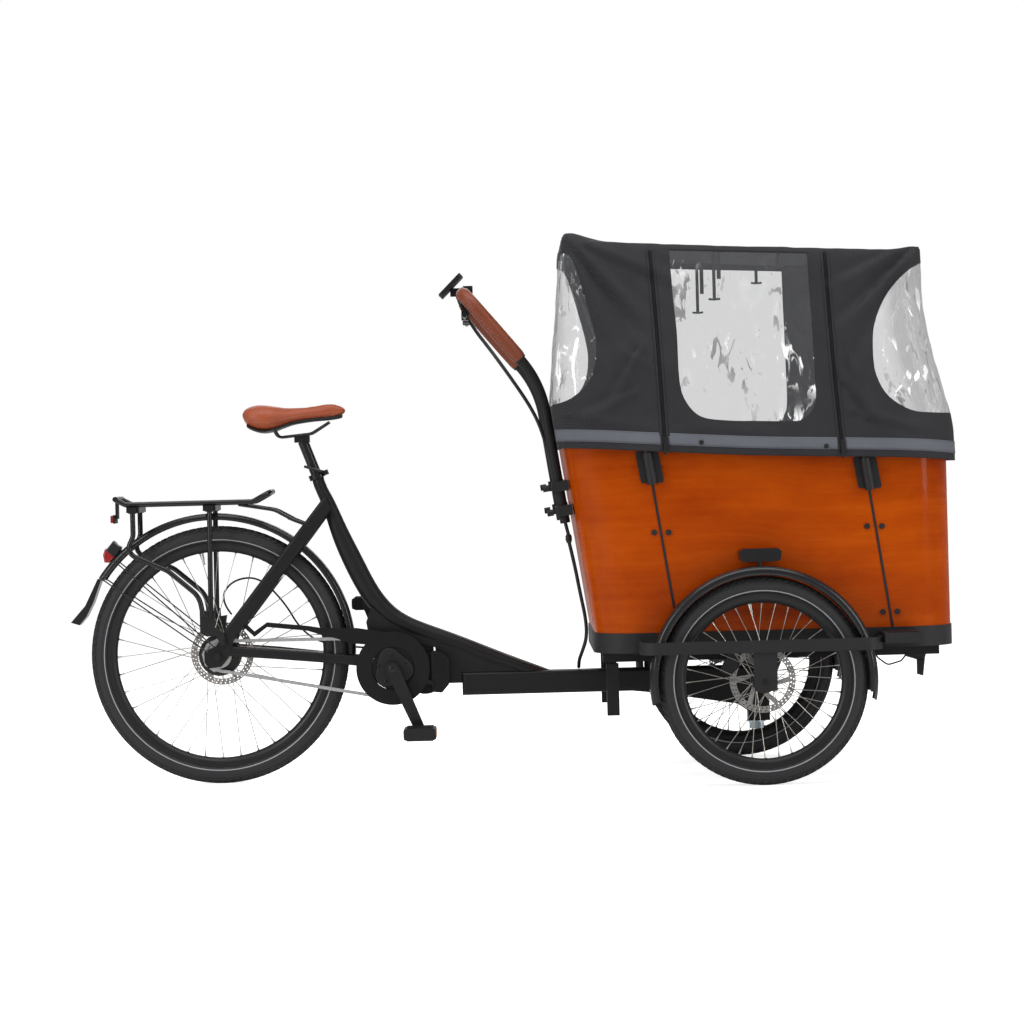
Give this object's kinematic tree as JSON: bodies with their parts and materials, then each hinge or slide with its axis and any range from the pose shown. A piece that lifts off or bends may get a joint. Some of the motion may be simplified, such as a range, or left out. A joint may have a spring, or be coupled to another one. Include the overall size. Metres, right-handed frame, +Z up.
{
  "type": "cargo bicycle",
  "caption": "Electric cargo tricycle with a plywood box and a fabric canopy between two steered front wheels, one driven rear wheel, rack and mudguards.",
  "frame": {"origin": "bottom centre of the bounding box, on the ground in the middle plane", "axes": "+X forward, +Y to the rider's left, +Z up"},
  "size_m": [2.2082, 0.874, 1.3501],
  "materials": {
    "frame_paint": "matte black powder coat",
    "tray_paint": "satin black powder coat",
    "plywood": "glossy orange-brown lacquer over birch plywood",
    "bench_wood": "clear lacquered plywood",
    "tyre_rubber": "black rubber with a reflective side stripe",
    "rim_black": "black anodised",
    "hub_black": "black anodised shell with stainless spokes",
    "steel": "bright steel",
    "zinc": "zinc plated",
    "chain_steel": "nickel plated chain",
    "motor_case": "fine textured black casting",
    "black_plastic": "black moulded plastic",
    "gloss_black": "gloss black",
    "crank_alloy": "black anodised",
    "saddle_leather": "tan leatherette",
    "grip_leather": "tan stitched leatherette",
    "cable": "black cable sheath",
    "canopy_fabric": "dark grey coated polyester with clear windows",
    "red_lens": "red reflector in a black holder"
  },
  "bodies": {
    "frame": {"frame_spine": "frame_paint", "main_tube": "frame_paint", "motor_bracket": "frame_paint", "seat_stays": "frame_paint", "chain_stays": "frame_paint", "kingpin": "zinc", "rear_axle": "zinc", "motor_housing": "motor_case", "chain_guard": "black_plastic", "chain": "chain_steel", "rack": "gloss_black", "rear_lights": "red_lens", "rear_fender": "gloss_black", "seat_clamp": "gloss_black", "rear_caliper": "black_plastic", "rear_brake_hose": "cable"},
    "rear_wheel": {"rear_tyre": "tyre_rubber", "rear_rim": "rim_black", "rear_hub": "hub_black"},
    "sprocket": {"rear_sprocket": "steel"},
    "crankset": {"chainring": "steel", "crank_arms": "crank_alloy"},
    "pedal_left": {"pedal_left": "black_plastic"},
    "pedal_right": {"pedal_right": "black_plastic"},
    "seat": {"seatpost": "gloss_black", "saddle": "saddle_leather"},
    "seat_lever": {"seat_clamp_lever": "gloss_black"},
    "carriage": {"carriage_frame": "frame_paint", "box_tray": "tray_paint", "box_floor": "bench_wood", "bench": "bench_wood", "box_panel_rear": "plywood", "box_panel_front": "plywood", "box_sides": "plywood", "box_fittings": "tray_paint", "pole_sockets": "tray_paint", "wheel_guards": "tray_paint", "front_fenders": "gloss_black", "front_calipers": "black_plastic", "headlight": "black_plastic", "bar_clamps": "tray_paint", "lower_loom": "cable"},
    "front_wheel_left": {"front_tyre_left": "tyre_rubber", "front_rim_left": "rim_black", "front_hub_left": "hub_black"},
    "front_wheel_right": {"front_tyre_right": "tyre_rubber", "front_rim_right": "rim_black", "front_hub_right": "hub_black"},
    "steering_bar": {"handlebar": "frame_paint", "grips": "grip_leather", "display": "black_plastic", "lever_mounts": "gloss_black", "upper_loom": "cable"},
    "brake_lever_left": {"brake_lever_left": "gloss_black"},
    "brake_lever_right": {"brake_lever_right": "gloss_black"},
    "shifter": {"twist_shifter": "black_plastic"},
    "canopy": {"canopy_roof": "canopy_fabric", "canopy_sides": "canopy_fabric", "canopy_ends": "canopy_fabric", "canopy_poles": "gloss_black"}
  },
  "joints": [
    {"name": "steering", "type": "hinge", "parent": "frame", "child": "carriage", "pos_m": [0.62391, 0, 0.29], "axis": [0, 0, 1], "range_deg": [-22, 22], "deforming": ["lower_loom"]},
    {"name": "rear_wheel_spin", "type": "hinge", "parent": "frame", "child": "rear_wheel", "pos_m": [-0.73009, 0, 0.3265], "axis": [0, 1, 0], "continuous": true},
    {"name": "crank_spin", "type": "hinge", "parent": "frame", "child": "crankset", "pos_m": [-0.29209, 0, 0.284], "axis": [0, 1, 0], "continuous": true},
    {"name": "sprocket_spin", "type": "hinge", "parent": "frame", "child": "sprocket", "pos_m": [-0.73009, -0.046, 0.3265], "axis": [0, 1, 0], "continuous": true},
    {"name": "pedal_right_spin", "type": "hinge", "parent": "crankset", "child": "pedal_right", "pos_m": [-0.22504, -0.13, 0.12604], "axis": [0, 1, 0], "continuous": true},
    {"name": "pedal_left_spin", "type": "hinge", "parent": "crankset", "child": "pedal_left", "pos_m": [-0.35914, 0.13, 0.44196], "axis": [0, 1, 0], "continuous": true},
    {"name": "seat_height", "type": "slide", "parent": "frame", "child": "seat", "axis": [-0.3502, 0, 0.9367], "range_m": [-0.055, 0.06]},
    {"name": "seat_lever_swing", "type": "hinge", "parent": "frame", "child": "seat_lever", "pos_m": [-0.44963, -0.017, 0.78179], "axis": [-0.3502, 0, 0.9367], "range_deg": [0, 110]},
    {"name": "front_wheel_left_spin", "type": "hinge", "parent": "carriage", "child": "front_wheel_left", "pos_m": [0.61241, 0.3756, 0.2524], "axis": [0, 1, 0], "continuous": true},
    {"name": "front_wheel_right_spin", "type": "hinge", "parent": "carriage", "child": "front_wheel_right", "pos_m": [0.61241, -0.3756, 0.2524], "axis": [0, 1, 0], "continuous": true},
    {"name": "bar_height", "type": "slide", "parent": "carriage", "child": "steering_bar", "axis": [-0.1495, 0, 0.9888], "range_m": [-0.08, 0.02], "deforming": ["upper_loom"]},
    {"name": "brake_right_pull", "type": "hinge", "parent": "steering_bar", "child": "brake_lever_right", "pos_m": [-0.08709, -0.1315, 1.161], "axis": [-1, 0, 0], "range_deg": [0, 7], "stiffness_Nm_per_rad": 6, "springref_deg": -5.73},
    {"name": "brake_left_pull", "type": "hinge", "parent": "steering_bar", "child": "brake_lever_left", "pos_m": [-0.08709, 0.1315, 1.161], "axis": [1, 0, 0], "range_deg": [0, 7], "stiffness_Nm_per_rad": 6, "springref_deg": -5.73},
    {"name": "shifter_twist", "type": "hinge", "parent": "steering_bar", "child": "shifter", "pos_m": [-0.08909, -0.185, 1.209], "axis": [0, 1, 0], "range_deg": [-45, 45]},
    {"name": "canopy_lift", "type": "slide", "parent": "carriage", "child": "canopy", "axis": [-0.1495, 0, 0.9888], "range_m": [0, 0.06]}
  ],
  "couplings": [
    {"joint": "sprocket_spin", "follows": "crank_spin", "ratio": 2.1111}
  ]
}
